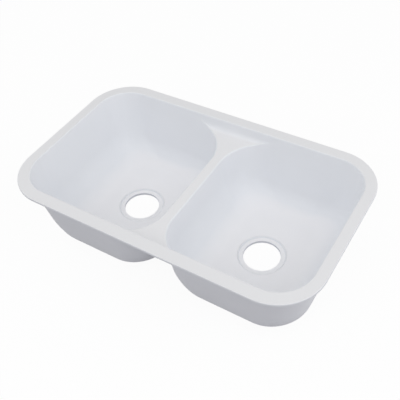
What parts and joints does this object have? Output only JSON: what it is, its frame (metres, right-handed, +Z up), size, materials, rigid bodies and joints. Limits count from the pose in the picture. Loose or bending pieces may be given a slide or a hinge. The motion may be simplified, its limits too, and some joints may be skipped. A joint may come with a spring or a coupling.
{
  "type": "double bowl kitchen sink",
  "caption": "Undermount kitchen sink in white cast resin: rounded bowls side by side under a flat rim, parted by a low saddle with flared ends, with stepped drain openings.",
  "frame": {"origin": "on the floor plane under the middle of the rim, level with the undersides of the bowls", "axes": "+X along the rim's length to the right, +Y from the front of the sink to its back, +Z up"},
  "size_m": [0.787, 0.47, 0.205],
  "materials": {
    "cast_resin": "mineral-filled cast resin, through-coloured white, sanded to a smooth satin",
    "seat_resin": "the same resin, machined to a slightly smoother face",
    "brass": "knurled and threaded, bare"
  },
  "bodies": {
    "root": {"rim_deck": "cast_resin", "left_bowl": "cast_resin", "right_bowl": "cast_resin", "left_drain_seat": "seat_resin", "right_drain_seat": "seat_resin", "clip_insert_01": "brass", "clip_insert_02": "brass", "clip_insert_03": "brass", "clip_insert_04": "brass", "clip_insert_05": "brass", "clip_insert_06": "brass", "clip_insert_07": "brass", "clip_insert_08": "brass", "clip_insert_09": "brass", "clip_insert_10": "brass", "clip_insert_11": "brass", "clip_insert_12": "brass"}
  },
  "joints": []
}
